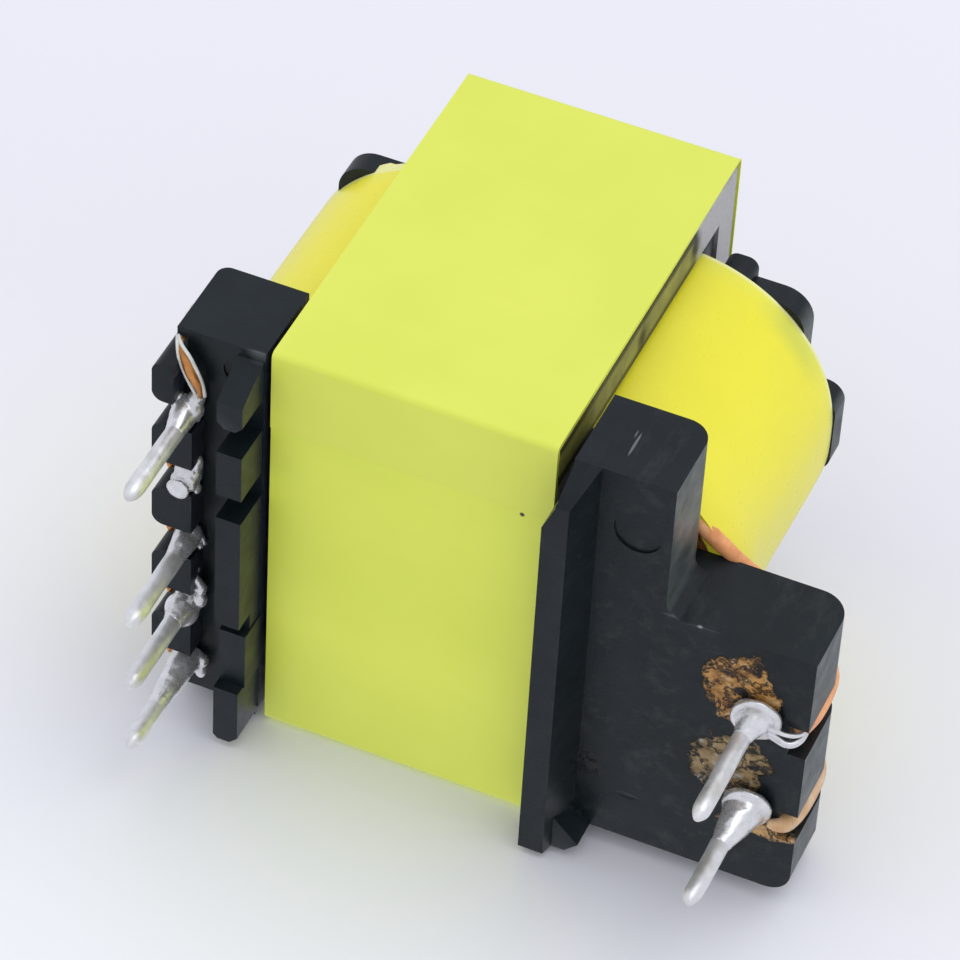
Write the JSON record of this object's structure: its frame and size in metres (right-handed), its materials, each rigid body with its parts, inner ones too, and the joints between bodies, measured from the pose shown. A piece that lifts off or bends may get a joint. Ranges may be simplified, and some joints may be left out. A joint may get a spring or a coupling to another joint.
{
  "type": "pcb transformer",
  "caption": "Small board-mounted switching transformer: taped ferrite core on a wound bobbin with a toothed pin rail and a wide block with offset pins.",
  "frame": {"origin": "the middle of the first pin at the board plane, as on a footprint", "axes": "+Z away from the board (the pins point along -Z), +X towards the wide block with the two far pins, +Y towards the standoff feet"},
  "size_m": [0.021, 0.0148, 0.0179],
  "materials": {
    "ferrite": "ground, dull",
    "core_tape": "smooth film tape",
    "winding_tape": "smooth film tape",
    "bobbin": "moulded, slightly glossy",
    "copper": "enamelled",
    "fine_wire": "enamelled, tinned at the end",
    "insulated_wire": "film-insulated",
    "pin": "tin plated",
    "solder": "bright solder"
  },
  "bodies": {
    "root": {"core_lower": "ferrite", "core_upper": "ferrite", "core_tape": "core_tape", "core_tape_lap": "core_tape", "bobbin": "bobbin", "winding_first": "copper", "tape_first": "winding_tape", "winding_second": "copper", "tape_second": "winding_tape", "winding_third": "copper", "winding_tape": "winding_tape", "pin_1": "pin", "pin_2": "pin", "pin_3": "pin", "pin_4": "pin", "pin_5": "pin", "pin_6": "pin", "pin_7": "pin", "lead_1": "fine_wire", "lead_2": "fine_wire", "lead_3": "fine_wire", "lead_4": "fine_wire", "lead_5": "fine_wire", "lead_6": "insulated_wire", "lead_7": "insulated_wire", "solder_1": "solder", "solder_2": "solder", "solder_3": "solder", "solder_4": "solder", "solder_5": "solder", "solder_6": "solder", "solder_7": "solder"}
  },
  "joints": []
}
